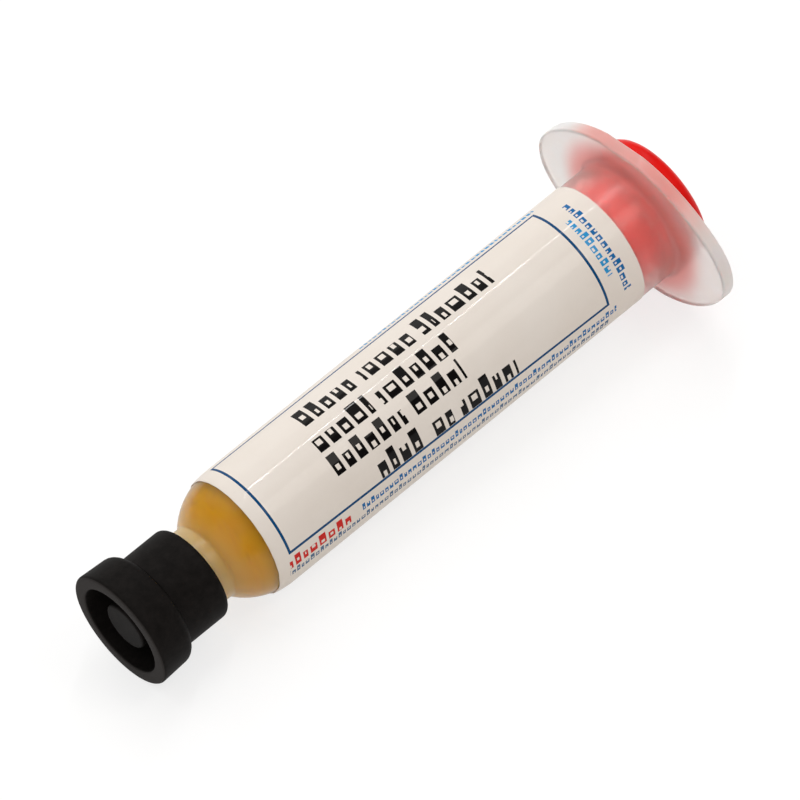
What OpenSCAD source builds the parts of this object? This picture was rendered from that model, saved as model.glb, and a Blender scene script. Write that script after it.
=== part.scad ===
// Pre-filled dispensing syringe for flux paste, closed with a push-on tip cap and a rear plug.
// Millimetres. Every piece is drawn on the syringe axis X, from the tip cap's front face (x = 0)
// to the rear plug, and then laid down on the table by lie_down().

/* [Barrel] */
// Outside diameter of the barrel tube
barrel_d = 18.6; // [17.8:0.1:19.5]
// Thickness of the tube's wall, which leaves the bore that the piston runs in
wall = 1.35; // [1.1:0.05:1.7]
// Length of the straight tube, from the end of the dome to the flange
tube_len = 70.9; // [60:0.1:90]
// Length of the domed shoulder between the collar and the tube
dome_len = 7.8; // [6:0.1:10]
// Depth of the lead-in chamfer at the mouth of the bore
mouth_chamfer = 0.5; // [0.2:0.1:1]

/* [Flange] */
// Thickness of the finger flange
flange_t = 2.0; // [1.4:0.1:3]
// Length of the oval flange, tip to tip
flange_len = 37.0; // [33:0.5:44]
// Width of the full oval, before its two resting flats are cut
oval_w = 27.2; // [26:0.2:30]
// Width of the flange across its two resting flats
flange_w = 26.6; // [24:0.2:27]
// Radius of the oval's narrow ends
flange_end_r = 8.5; // [7:0.5:11]
// Fillet between the tube and the flange
flange_fillet = 0.8; // [0.4:0.1:1.5]

/* [Nozzle] */
// Outside diameter of the lock collar
collar_d = 11.5; // [11:0.1:12]
// Inside diameter of the lock collar, at the thread's crest
collar_in_d = 8.0; // [7.8:0.1:8.4]
// Length of the collar, from the dome forwards
collar_len = 8.3; // [7:0.1:10]
// Depth of the ring gap between the collar and the nozzle cone
collar_depth = 6.7; // [5:0.1:7]
// Diameter of the nozzle cone at its tip
nozzle_tip_d = 3.98; // [3.9:0.01:4.1]
// Growth of the cone's diameter for each millimetre of length
nozzle_taper = 0.06; // [0.05:0.01:0.07]
// How far the nozzle cone stands out of the collar
nozzle_proud = 1.9; // [1:0.1:2.5]
// Diameter of the channel through the nozzle
lumen_d = 2.2; // [1.8:0.1:2.6]

/* [Tip cap] */
// Length of the tip cap
cap_len = 13.5; // [11.5:0.1:15]
// Diameter of the grip ring at its front face
ring_front_d = 17.9; // [16.5:0.1:19]
// Diameter of the grip ring at its rear edge
ring_rear_d = 17.2; // [16:0.1:18]
// Length of the grip ring
ring_len = 5.9; // [5.5:0.1:7]
// Rounding of the grip ring's rear edge
ring_back_r = 1.5; // [1:0.1:1.5]
// Rounding of the grip ring's front edges
ring_front_r = 0.45; // [0.3:0.05:0.6]
// Diameter of the skirt behind the ring
skirt_d = 14.4; // [14:0.1:15]
// Rounding of the skirt's rear edge
skirt_r = 0.9; // [0.5:0.1:1]
// Diameter of the moulded recess in the front face
recess_d = 13.6; // [13:0.1:14.5]
// Diameter of the round post in the recess
post_d = 7.1; // [6.6:0.1:7.4]
// How far the post's face lies behind the ring's face
post_set = 0.9; // [0.2:0.05:1.5]
// Thickness of the web between the recess in front and the socket behind
web_t = 2.4; // [1:0.1:4]
// Gap between the collar's front face and the floor of the socket
seat_gap = 0.3; // [0.2:0.1:1]
// Length of collar that shows between the cap and the dome
neck_show = 2.2; // [1.5:0.1:4]

/* [Piston and paste] */
// Length of the piston, from its shoulder to its rear rim
piston_len = 12; // [9:0.5:16]
// Length of the piston's domed nose, from its shoulder to its flat tip
nose_len = 7.2; // [5:0.1:8]
// Thickness of the piston's wall
piston_wall = 1.2; // [0.8:0.1:2]
// Width of each sealing lip of the piston
lip_w = 1.6; // [1:0.1:2.5]
// How much slimmer the piston's waist is than its lips, on the diameter
waist_relief = 1.2; // [0.6:0.1:2]
// Length of bore left empty between the piston's rear rim and the plug
empty_len = 1.4; // [0.5:0.1:40]

/* [End plug] */
// Diameter of the plug's head
head_d = 20.0; // [19:0.1:22]
// Thickness of the plug's head
head_t = 3.8; // [2.5:0.1:5]
// Rounding of the head's rear edge
head_r = 1.8; // [0.5:0.1:2.2]
// Length of the plug inside the bore
plug_len = 9.5; // [6:0.5:12]
// Thickness of the plug's wall
plug_wall = 1.4; // [1:0.1:2]
// How much slimmer the plug's body is than its sealing beads, on the diameter
bead_relief = 0.7; // [0.4:0.1:1.2]
// Radius of the rounding that makes each sealing bead
bead_r = 0.7; // [0.5:0.1:0.9]

/* [Label] */
// Distance that the label's front edge laps over the dome
label_lap = 2.5; // [0:0.1:3]
// Width of the bare tube between the label and the flange
bare_len = 6.1; // [3:0.1:20]
// Thickness of the label film
label_t = 0.1; // [0.08:0.01:0.2]
// Angle by which the label was wrapped out of square
label_skew = 1.9; // [0:0.1:3]
// Direction round the axis in which the skew shows, up from the table on the near side
skew_dir = 52; // [0:1:90]

/* [Fits] */
// Radial running clearance of the piston, the plug and the cap on the barrel
fit_gap = 0.05; // [0.02:0.01:0.1]
// Radial clearance round soft or glued pieces
soft_gap = 0.02; // [0.01:0.01:0.1]
// Gap between pieces that rest end to end
end_gap = 0.3; // [0.1:0.1:0.5]

/* [Hidden] */
$fn = 96;
eps = 0.01;

// Stations along the axis
dome_x = cap_len + neck_show;
tube_x = dome_x + dome_len;
flange_x = tube_x + tube_len;
rear_x = flange_x + flange_t;
collar_x = dome_x - collar_len;
nozzle_x = collar_x - nozzle_proud;
collar_floor_x = collar_x + collar_depth;
plug_x = rear_x - plug_len;
piston_x = plug_x - empty_len - piston_len;
label_x = tube_x - label_lap;
label_end_x = flange_x - bare_len;

// Radii
barrel_r = barrel_d / 2;
bore_r = barrel_r - wall;
seal_r = bore_r - fit_gap;
ring_r = ring_front_d / 2;
head_edge_r = head_d / 2;

// The dome's outline is an arc that leaves the collar and runs tangent into the tube
dome_rise = barrel_r - collar_d / 2;
dome_arc_r = (dome_len * dome_len + dome_rise * dome_rise) / (2 * dome_rise);
dome_axis_off = barrel_r - dome_arc_r;
// Overshoot of that arc, so that it crosses the tube's line on one clean edge
tangent_lap = 0.003;

// The oval is drawn with four arcs: two end arcs and two side arcs tangent to them. The side arcs
// are cut off a little before they touch the end arcs, where those stand out by the overshoot
side_r = (pow(flange_len / 2, 2) + pow(oval_w / 2, 2) - flange_len * flange_end_r)
    / (oval_w - 2 * flange_end_r);
end_off = flange_len / 2 - flange_end_r;
side_off = side_r - oval_w / 2;
tip_lap = 0.05;

// The syringe lies on one flat of its flange and on the cap's grip ring
ring_touch_x = ring_front_r;
rest_tilt = atan((flange_w / 2 - ring_r) / (flange_x - ring_touch_x));
lift = flange_w / 2 * cos(rest_tilt) - flange_x * sin(rest_tilt);
front_reach = ring_front_r * cos(rest_tilt) - (ring_r - ring_front_r) * sin(rest_tilt) - ring_front_r;
head_x = rear_x + head_t - head_r;
rear_reach = head_x * cos(rest_tilt) + (head_edge_r - head_r) * sin(rest_tilt) + head_r;
middle_x = (front_reach + rear_reach) / 2;

// Lays the syringe down: nose low, resting on the table plane z = 0
module lie_down() {
    translate([-middle_x, 0, lift]) rotate([0, -rest_tilt, 0]) children();
}

// Turns a profile drawn as (radius, distance along the axis) into a solid round the X axis
module turned() {
    rotate([0, 90, 0]) rotate_extrude() children();
}

// A rectangle given by its two radii and two stations
module band(r0, r1, x0, x1) {
    translate([r0, x0]) square([r1 - r0, x1 - x0]);
}

// The dome's outline as a disc, grown inwards or outwards by grow and cut off at the axis
module dome_disc(grow) {
    intersection() {
        translate([dome_axis_off, tube_x]) circle(r = dome_arc_r + grow + tangent_lap);
        band(0, barrel_r + grow, tube_x - dome_arc_r, tube_x);
    }
}

// The outline of the flange: the lens that two large circles share, with a flat on each long side
// and its pointed tips cut off where the two end circles touch its sides
module oval() {
    tip_y = end_off * side_r / (side_r - flange_end_r) - tip_lap;
    intersection() {
        translate([side_off, 0]) circle(r = side_r);
        translate([-side_off, 0]) circle(r = side_r);
        translate([-flange_w / 2, -tip_y]) square([flange_w, 2 * tip_y]);
    }
    for (y = [-end_off, end_off])
        translate([0, y]) circle(r = flange_end_r + tangent_lap);
}

// The finger flange: a plate of that outline, drawn flat and then set up across the axis
module flange_plate() {
    translate([flange_x, 0, 0]) rotate([0, 90, 0]) linear_extrude(flange_t) oval();
}

// The nozzle cone: slim at its tip, growing by the taper down to the floor of the collar
module nozzle_profile() {
    cone_len = collar_floor_x - nozzle_x;
    base_d = nozzle_tip_d + nozzle_taper * cone_len;
    polygon([[0, nozzle_x], [nozzle_tip_d / 2, nozzle_x], [base_d / 2, collar_floor_x], [0, collar_floor_x]]);
}

// Everything of the barrel that is turned: collar, nozzle, dome, tube, fillet and bore
module barrel_profile() {
    difference() {
        union() {
            difference() {
                band(0, collar_d / 2, collar_x, dome_x + eps);
                band(0, collar_in_d / 2, collar_x - eps, collar_floor_x);
            }
            nozzle_profile();
            intersection() {
                dome_disc(0);
                band(0, barrel_r, dome_x, tube_x);
            }
            band(0, barrel_r, tube_x, rear_x);
            difference() {
                band(0, barrel_r + flange_fillet, flange_x - flange_fillet, flange_x + eps);
                translate([barrel_r + flange_fillet, flange_x - flange_fillet]) circle(r = flange_fillet);
            }
        }
        dome_disc(-wall);
        band(0, bore_r, tube_x, rear_x + eps);
        band(0, lumen_d / 2, nozzle_x - eps, tube_x);
    }
}

module barrel() {
    color([0.93, 0.90, 0.86, 0.55]) lie_down() difference() {
        union() {
            turned() barrel_profile();
            flange_plate();
        }
        turned() band(0, bore_r, tube_x + eps, rear_x + eps);
        turned() polygon([[0, rear_x - mouth_chamfer], [bore_r, rear_x - mouth_chamfer],
            [bore_r + mouth_chamfer, rear_x + eps], [0, rear_x + eps]]);
    }
}

// The label: a thin film round the tube, its two edges slightly out of square
module label() {
    in_r = barrel_r + soft_gap;
    reach = barrel_d;
    color([0.93, 0.92, 0.89]) lie_down() intersection() {
        turned() band(in_r, in_r + label_t, label_x - label_lap, flange_x);
        rotate([-skew_dir, 0, 0]) rotate([0, label_skew, 0])
            translate([label_x * cos(label_skew), -reach, -reach])
                cube([(label_end_x - label_x) * cos(label_skew), 2 * reach, 2 * reach]);
    }
}

// The piston's domed nose: the bore's own dome, slimmer by gap all round, with a flat tip
module dome_nose(shoulder_x, gap) {
    translate([0, shoulder_x - tube_x]) intersection() {
        dome_disc(-wall - gap);
        band(0, bore_r, tube_x - nose_len + gap, tube_x);
    }
}

// Flux paste: fills the nozzle channel, the dome and the bore up to the piston's nose
module flux_paste() {
    color([0.66, 0.45, 0.10]) lie_down() turned() difference() {
        union() {
            dome_disc(-wall - soft_gap);
            band(0, bore_r - soft_gap, tube_x, piston_x);
            band(0, lumen_d / 2 - soft_gap, nozzle_x + end_gap, tube_x);
        }
        dome_nose(piston_x, -end_gap / 2);
    }
}

// Piston: a domed nose that fits the end of the bore, two sealing lips and a hollow back
module piston() {
    waist_r = seal_r - waist_relief / 2;
    back_x = piston_x + piston_len;
    color([0.92, 0.93, 0.92]) lie_down() turned() difference() {
        union() {
            dome_nose(piston_x, fit_gap);
            band(0, waist_r, piston_x, back_x);
            band(0, seal_r, piston_x, piston_x + lip_w);
            band(0, seal_r, back_x - lip_w, back_x);
        }
        dome_nose(piston_x + piston_wall, piston_wall + fit_gap);
        band(0, waist_r - piston_wall, piston_x + piston_wall, back_x + eps);
    }
}

// End plug: a round head on the flange, a hollow plug in the bore and two sealing beads
module end_cap() {
    body_r = seal_r - bead_relief / 2;
    color([0.90, 0.08, 0.06]) lie_down() turned() difference() {
        union() {
            band(0, head_edge_r - head_r, rear_x, rear_x + head_t);
            band(0, head_edge_r, rear_x, rear_x + head_t - head_r);
            intersection() {
                translate([head_edge_r - head_r, rear_x + head_t - head_r]) circle(r = head_r);
                band(0, head_d, rear_x, rear_x + head_d);
            }
            band(0, body_r, plug_x, rear_x + eps);
            for (x = [plug_x + bead_r, plug_x + plug_len / 2])
                translate([seal_r - bead_r, x]) circle(r = bead_r);
        }
        band(0, body_r - plug_wall, plug_x - eps, rear_x - eps);
    }
}

// Tip cap: grip ring with a moulded recess and post in front, a socket on the collar behind
module tip_cap() {
    socket_r = collar_d / 2 + fit_gap;
    socket_x = collar_x - seat_gap;
    recess_depth = socket_x - web_t;
    boss_x = collar_floor_x - end_gap;
    cone_in = nozzle_tip_d / 2 + fit_gap;
    cone_out = cone_in + nozzle_taper / 2 * (boss_x - nozzle_x);
    skirt_r0 = skirt_d / 2;
    color([0.12, 0.12, 0.12]) lie_down() turned() {
        difference() {
            union() {
                grip_ring_profile();
                band(0, skirt_r0, ring_len - ring_back_r, cap_len - skirt_r);
                band(0, skirt_r0 - skirt_r, ring_len, cap_len);
                translate([skirt_r0 - skirt_r, cap_len - skirt_r]) circle(r = skirt_r);
                band(0, post_d / 2, ring_len, boss_x);
            }
            difference() {
                band(0, recess_d / 2, -eps, recess_depth);
                band(0, post_d / 2, post_set, recess_depth);
            }
            difference() {
                band(0, socket_r, socket_x, cap_len + eps);
                band(0, post_d / 2, socket_x - eps, boss_x);
            }
            polygon([[0, nozzle_x - seat_gap], [cone_in, nozzle_x - seat_gap], [cone_in, nozzle_x],
                [cone_out, boss_x + eps], [0, boss_x + eps]]);
        }
    }
}

// The grip ring's section: slightly conical, front edges softly rounded, rear edge fully rounded
module grip_ring_profile() {
    back_r = ring_rear_d / 2;
    side_x = ring_len - ring_back_r;
    polygon([[0, 0], [ring_r - ring_front_r, 0], [ring_r, ring_front_r], [back_r, side_x],
        [back_r - ring_back_r, side_x], [back_r - ring_back_r, ring_len], [0, ring_len]]);
    translate([ring_r - ring_front_r, ring_front_r]) circle(r = ring_front_r);
    translate([back_r - ring_back_r, side_x]) circle(r = ring_back_r);
}

barrel();
label();
flux_paste();
piston();
end_cap();
tip_cap();
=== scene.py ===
# %% [markdown]
# This scene dresses a factory-filled syringe of soldering flux: a milky polypropylene barrel with a
# wrap label, amber flux gel inside, a black rubber cap on its nozzle and a red plug in its mouth.
# The solids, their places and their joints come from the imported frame. Each cell makes one thing,
# and the cell before it says what the real thing is and why it is made this way.

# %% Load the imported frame
import math

import bpy
import numpy as np
from mathutils import Matrix, Vector


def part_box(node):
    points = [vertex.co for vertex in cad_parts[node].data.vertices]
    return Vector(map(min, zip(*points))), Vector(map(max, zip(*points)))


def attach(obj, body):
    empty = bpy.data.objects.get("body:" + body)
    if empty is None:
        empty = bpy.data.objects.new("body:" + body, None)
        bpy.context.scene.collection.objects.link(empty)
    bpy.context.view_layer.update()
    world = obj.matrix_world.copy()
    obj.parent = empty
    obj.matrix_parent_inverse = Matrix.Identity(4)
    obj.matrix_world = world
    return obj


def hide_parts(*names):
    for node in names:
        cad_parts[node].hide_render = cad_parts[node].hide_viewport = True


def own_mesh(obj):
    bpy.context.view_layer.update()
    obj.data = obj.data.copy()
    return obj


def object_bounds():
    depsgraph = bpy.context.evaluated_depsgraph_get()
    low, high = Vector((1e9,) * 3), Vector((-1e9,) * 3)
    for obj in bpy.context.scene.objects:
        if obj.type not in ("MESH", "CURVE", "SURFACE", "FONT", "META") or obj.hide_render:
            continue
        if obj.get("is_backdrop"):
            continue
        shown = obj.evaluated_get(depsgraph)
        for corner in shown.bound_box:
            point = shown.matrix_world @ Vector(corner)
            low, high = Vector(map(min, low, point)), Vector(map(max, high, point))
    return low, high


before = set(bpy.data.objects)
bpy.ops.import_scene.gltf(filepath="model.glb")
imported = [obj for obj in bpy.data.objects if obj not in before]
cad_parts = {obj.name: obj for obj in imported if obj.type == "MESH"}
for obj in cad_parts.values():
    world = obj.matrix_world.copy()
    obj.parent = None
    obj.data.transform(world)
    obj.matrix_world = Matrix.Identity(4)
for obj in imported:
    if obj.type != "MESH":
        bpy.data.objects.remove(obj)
cad_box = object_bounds()
print("CAD box in mm:", [[round(1000 * v, 2) for v in corner] for corner in cad_box])

# %% [markdown]
# A syringe is a turned thing, so every piece is worked out in the syringe's own frame, in
# millimetres: x runs along the axis from the cap's front face to the rear plug, y across and z up.
# Only a few sizes are set here, and the stations along the axis follow from them, as they do on a
# drawing. A name that ends in _r is a radius, in _x a station, in _len or _t a length or thickness.

# %% Sizes of the syringe in millimetres
tube_r = 9.3
bore_r = 7.95
wall = tube_r - bore_r
cap_len = 13.5
neck_show = 2.2
dome_len = 7.8
tube_len = 70.9
flange_t = 2.0
collar_len = 8.3
collar_depth = 6.7
collar_r = 5.75
collar_in_r = 4.0
nozzle_proud = 1.9
nozzle_tip_r = 1.99
nozzle_slope = 0.03
lumen_r = 1.1
label_lap = 2.5
bare_len = 6.1
piston_len = 12.0
plug_len = 9.5
empty_len = 1.4
fit_gap = 0.05
soft_gap = 0.02

dome_x = cap_len + neck_show
tube_x = dome_x + dome_len
flange_x = tube_x + tube_len
rear_x = flange_x + flange_t
collar_x = dome_x - collar_len
nozzle_x = collar_x - nozzle_proud
collar_floor_x = collar_x + collar_depth
plug_x = rear_x - plug_len
piston_x = plug_x - empty_len - piston_len
label_x = tube_x - label_lap
label_end_x = flange_x - bare_len
print("stations:", round(tube_x, 2), round(piston_x, 2), round(flange_x, 2), round(rear_x, 2))

# %% [markdown]
# The syringe can't stand, so it lies on a flat of its oval flange and on the grip ring of its cap.
# That tips its nose down by the angle between those two heights. Each object could be turned, but
# finished pieces have to stay at the origin. So one function turns and lifts every point from the
# syringe's frame into the frame of the scene, and no piece is placed by hand.

# %% Laying the syringe down
flange_flat = 13.3
ring_front_r = 8.95
ring_edge_r = 0.45
head_r = 10.0
head_t = 3.8
head_edge_r = 1.8

tilt = math.atan((flange_flat - ring_front_r) / (flange_x - ring_edge_r))
lift = flange_flat * math.cos(tilt) - flange_x * math.sin(tilt)
front_reach = ring_edge_r * (math.cos(tilt) - 1)
front_reach -= (ring_front_r - ring_edge_r) * math.sin(tilt)
rear_reach = (rear_x + head_t - head_edge_r) * math.cos(tilt)
rear_reach += (head_r - head_edge_r) * math.sin(tilt) + head_edge_r
middle_x = (front_reach + rear_reach) / 2


def lie_down(points):
    """Syringe millimetres to scene metres: turned by the tilt about y, then moved so that the
    middle of the box is over the origin and the lowest point is on the floor."""
    x, y, z = np.moveaxis(np.asarray(points, float), -1, 0)
    level = x * math.cos(tilt) - z * math.sin(tilt) - middle_x
    height = x * math.sin(tilt) + z * math.cos(tilt) + lift
    return np.stack([level, y, height], axis=-1) / 1000


axis = Vector((math.cos(tilt), 0, math.sin(tilt)))
print("nose down by", round(math.degrees(tilt), 2), "degrees")

# %% [markdown]
# The camera comes before the looks, because every finish is judged from where the photograph was
# taken. It stands 1.4 m away with a long lens, 52 degrees up round the syringe and a little to its
# front. A camera can be aimed with a constraint, but then its roll has to be found by trial. Here
# its three directions are built from the axis and two directions across it: near, which faces the
# camera, and over, which points up in the picture.

# %% Camera
view_height = math.radians(52)
view_slant = math.radians(69.28)
picture_turn = math.radians(38.95)
aim_x = 51.71
aim_over = 0.48
camera_distance = 1.409
lens_mm = 470.5


def across(y, z):
    """A direction across the axis, given in the syringe's frame, as a scene direction."""
    return Vector((-z * math.sin(tilt), y, z * math.cos(tilt)))


near = across(-math.cos(view_height), math.sin(view_height))
over = across(math.sin(view_height), math.cos(view_height))
to_camera = -math.cos(view_slant) * axis + math.sin(view_slant) * near
along = math.sin(view_slant) * axis + math.cos(view_slant) * near
right = math.cos(picture_turn) * along - math.sin(picture_turn) * over
upward = math.sin(picture_turn) * along + math.cos(picture_turn) * over
aim = Vector(lie_down([aim_x, 0, 0]).tolist()) + over * aim_over / 1000

camera_data = bpy.data.cameras.new("camera")
camera_data.lens = lens_mm
camera_data.sensor_width = 36
camera = bpy.data.objects.new("camera", camera_data)
bpy.context.scene.collection.objects.link(camera)
place = aim + to_camera * camera_distance
camera_turn = Matrix((right, upward, to_camera)).transposed().to_4x4()
camera.matrix_world = Matrix.Translation(place) @ camera_turn
bpy.context.scene.camera = camera
print("camera at", [round(v, 3) for v in place])

# %% [markdown]
# A section is the outline that a lathe tool would follow. It is given by its corners, each with a
# rounding, because moulded plastic and rubber have no sharp edges, and those small roundings catch
# the light. A Bevel modifier could round the finished piece, but with one width for all its edges.
# The same list can carry a reach, which tells how far a point follows the oval flange.

# %% Sections with rounded corners
corner_steps = 6
tiny = 1e-6


def arc(centre, radius, start, end, steps=24):
    """Corners on a circle: centre + radius (cos a, sin a) in station and radius, a from start to
    end in degrees from the axis direction, with no rounding and no reach."""
    a = np.radians(np.linspace(start, end, steps))
    flat = np.zeros_like(a)
    x = centre[0] + radius * np.cos(a)
    r = centre[1] + radius * np.sin(a)
    return np.stack([x, r, flat, flat], axis=1)


def section(*parts, step=1.2, closed=False):
    """The dense outline through corners (station, radius, rounding, reach). A corner where the
    outline turns by t starts its arc rounding * tan(t / 2) early and ends it as much later, and
    straight stretches get a point every step."""
    rows = [np.atleast_2d(np.array(p, float)) for p in parts]
    corners = np.vstack([np.pad(r, ((0, 0), (0, 4 - r.shape[1]))) for r in rows])
    before = np.roll(corners, 1, 0)[:, :2]
    after = np.roll(corners, -1, 0)[:, :2]
    here = corners[:, :2]
    into = here - before
    out = after - here
    len_in = np.linalg.norm(into, axis=1)
    len_out = np.linalg.norm(out, axis=1)
    into = into / np.maximum(len_in, tiny)[:, None]
    out = out / np.maximum(len_out, tiny)[:, None]
    bend = np.arctan2(into[:, 0] * out[:, 1] - into[:, 1] * out[:, 0], (into * out).sum(1))
    if not closed:
        bend[[0, -1]] = 0
    cut = np.abs(corners[:, 2] * np.tan(bend / 2))
    outline = []
    for k in range(len(corners)):
        if cut[k] > tiny:
            radius = corners[k, 2] * np.sign(bend[k])
            centre = here[k] - into[k] * cut[k] + radius * np.array([-into[k, 1], into[k, 0]])
            a = np.linspace(0, bend[k], corner_steps + 1)
            spoke = here[k] - into[k] * cut[k] - centre
            turned_x = spoke[0] * np.cos(a) - spoke[1] * np.sin(a)
            turned_r = spoke[0] * np.sin(a) + spoke[1] * np.cos(a)
            reach = np.full_like(a, corners[k, 3])
            bent = np.stack([centre[0] + turned_x, centre[1] + turned_r, reach], axis=1)
        else:
            bent = corners[k, [0, 1, 3]][None, :]
        if outline:
            outline.append(stretch(outline[-1][-1], bent[0], step))
        outline.append(bent)
    if closed:
        outline.append(stretch(outline[-1][-1], outline[0][0], step))
    return np.vstack(outline)


def stretch(a, b, step):
    """The points strictly between a and b, evenly spaced and no further apart than step."""
    count = max(1, math.ceil(np.linalg.norm((b - a)[:2]) / step))
    t = np.linspace(0, 1, count + 1)[1:-1, None]
    return a + (b - a) * t


print("points in a rounded corner:", corner_steps + 1)

# %% [markdown]
# Turning a section gives a grid of points, one row for each point of the outline and one column for
# each angle. A Screw modifier could turn it too, but the grid also lets the radius change with the
# angle, for the oval flange and the thread. Where an outline starts and ends on the axis, its first
# and last rows shrink to one point each and close the piece with a fan, so no pole has a hole.

# %% Turned surfaces
turn_steps = 240
turn_angles = np.arange(turn_steps) * 2 * np.pi / turn_steps


def grid_faces(rows, cols, first=0, close_rows=False, close_cols=True):
    """Squares between neighbouring points of a rows by cols grid. Point (i, j) is number
    first + i cols + j, and a closed direction counts on from its last point to its first."""
    i = np.arange(rows if close_rows else rows - 1)[:, None]
    j = np.arange(cols if close_cols else cols - 1)[None, :]
    a = i * cols + j
    b = i * cols + (j + 1) % cols
    c = ((i + 1) % rows) * cols + (j + 1) % cols
    d = ((i + 1) % rows) * cols + j
    return first + np.stack([a, b, c, d], axis=-1).reshape(-1, 4)


def turned(stations, radii, angles=turn_angles):
    """Point (i, j) = (x_i, r_ij cos a_j, r_ij sin a_j). Rows close on each other where the outline
    is a loop off the axis, and end in a fan where it starts and ends on the axis."""
    cols = len(angles)
    if np.ndim(radii) == 1:
        radii = np.asarray(radii)[:, None]
    radii = np.broadcast_to(radii, (len(stations), cols))
    x = np.broadcast_to(np.asarray(stations)[:, None], radii.shape)
    points = np.stack([x, radii * np.cos(angles), radii * np.sin(angles)], axis=-1)
    if radii[0].max() > tiny:
        return points.reshape(-1, 3), [grid_faces(len(x), cols, close_rows=True)]
    rows = len(x) - 2
    inner = points[1:-1].reshape(-1, 3)
    all_points = np.vstack([points[0, :1], inner, points[-1, :1]])
    j = np.arange(cols)
    k = (j + 1) % cols
    last = 1 + rows * cols
    front = np.stack([np.zeros_like(j), 1 + k, 1 + j], axis=1)
    back = np.stack([np.full_like(j, last), last - cols + j, last - cols + k], axis=1)
    return all_points, [grid_faces(rows, cols, first=1), front, back]


def volume(points, faces):
    """Signed volume: a sixth of the sum of corner products over the faces cut into triangles."""
    total = 0.0
    for f in faces:
        for k in range(1, f.shape[1] - 1):
            far = np.cross(points[f[:, k]], points[f[:, k + 1]])
            total += np.einsum("ij,ij->", points[f[:, 0]], far)
    return total / 6


print("one step round the tube, mm:", round(2 * np.pi * tube_r / turn_steps, 2))

# %% [markdown]
# Every piece ends the same way: its points go to the scene, its faces turn outwards, it gets its
# finish, rides on its body and stands for the solids that it dresses. One function does that, and
# prints how far the piece's box is from the solid's, which should be a small part of a millimetre.

# %% Finishing a piece
sharp_angle = math.radians(50)


def add_piece(name, points, faces, material, body, slot, nodes=(), uv=None):
    """Makes the mesh with foreach_set, its faces turned outwards, and hands it to the frame."""
    if volume(points, faces) < 0:
        faces = [f[:, ::-1] for f in faces]
    corners = np.concatenate([f.ravel() for f in faces]).astype(np.int32)
    sizes = np.concatenate([np.full(len(f), f.shape[1]) for f in faces])
    starts = np.concatenate([[0], np.cumsum(sizes)[:-1]]).astype(np.int32)
    placed = lie_down(points)
    mesh = bpy.data.meshes.new(name)
    mesh.vertices.add(len(points))
    mesh.vertices.foreach_set("co", placed.astype(np.float32).ravel())
    mesh.loops.add(len(corners))
    mesh.loops.foreach_set("vertex_index", corners)
    mesh.polygons.add(len(sizes))
    mesh.polygons.foreach_set("loop_start", starts)
    mesh.update(calc_edges=True)
    if uv is not None:
        layer = mesh.uv_layers.new(name="print")
        layer.data.foreach_set("uv", uv[corners].astype(np.float32).ravel())
    mesh.shade_smooth()
    mesh.set_sharp_from_angle(angle=sharp_angle)
    mesh.materials.append(material)
    piece = bpy.data.objects.new(name, mesh)
    bpy.context.scene.collection.objects.link(piece)
    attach(piece, body)
    if nodes:
        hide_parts(*nodes)
    print(f"{name}: {len(sizes)} faces")
    for n in nodes:
        solid_low, solid_high = (np.array(v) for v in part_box(n))
        low_off = np.abs(placed.min(0) - solid_low).max()
        high_off = np.abs(placed.max(0) - solid_high).max()
        print(f"  box within {1000 * max(low_off, high_off):.2f} mm of the solid {n}")
    return piece


def add_turned(name, outline, *rest):
    """Turns an outline round the axis and gives it, with the rest, to add_piece."""
    return add_piece(name, *turned(outline[:, 0], outline[:, 1]), *rest)


print("edges stay sharp where they turn by more than", round(math.degrees(sharp_angle)), "degrees")

# %% [markdown]
# A finish is a small tree of nodes. It could be drawn by hand in the node editor. Here one function
# adds any node, with its settings and its inputs, so that a material reads like a recipe. Colours
# are written as they look on a screen, in hex, and turned to the linear values that light is worked
# out in.

# %% Materials: helpers
def linear(hex_text, alpha=1.0):
    """sRGB hex to linear: c / 12.92 below 0.04045, else ((c + 0.055) / 1.055) ** 2.4."""
    c = np.array([int(hex_text[i : i + 2], 16) for i in (1, 3, 5)]) / 255
    c = np.where(c <= 0.04045, c / 12.92, ((c + 0.055) / 1.055) ** 2.4)
    return (*c.tolist(), alpha)


def set_inputs(tree, node, inputs):
    """Gives inputs, by name or in their order, each a number, a colour, a socket or a node. A node
    stands for its first output in use."""
    pairs = inputs.items() if isinstance(inputs, dict) else enumerate(inputs)
    for key, value in pairs:
        if isinstance(value, bpy.types.Node):
            value = next(output for output in value.outputs if output.enabled)
        if isinstance(value, bpy.types.NodeSocket):
            tree.links.new(value, node.inputs[key])
        else:
            node.inputs[key].default_value = value


def add_node(tree, kind, inputs=(), stops=(), **settings):
    """Adds a node. Settings are its properties, inputs are given as in set_inputs, and stops are
    the (position, hex colour) pairs of a colour ramp. A Mix node's inputs share their names, so
    they go by number: 0 is the factor, 2 and 3 are its two numbers, 6 and 7 its two colours."""
    made = tree.nodes.new("ShaderNode" + kind)
    for key, value in settings.items():
        setattr(made, key, value)
    set_inputs(tree, made, inputs)
    if stops:
        keys = made.color_ramp.elements
        while len(keys) < len(stops):
            keys.new(0.5)
        for key, (position, colour) in zip(keys, stops):
            key.position = position
            key.color = linear(colour)
    return made


def new_material(name):
    """A material with its Principled shader joined to its output, and its tree of nodes."""
    material = bpy.data.materials.new(name)
    material.use_nodes = True
    return material, material.node_tree


def give_looks(material, looks):
    """Sets the shader's inputs, prints how many nodes the finish took and returns it."""
    tree = material.node_tree
    set_inputs(tree, tree.nodes["Principled BSDF"], looks)
    print(material.name, "has", len(tree.nodes), "nodes")
    return material


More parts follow.
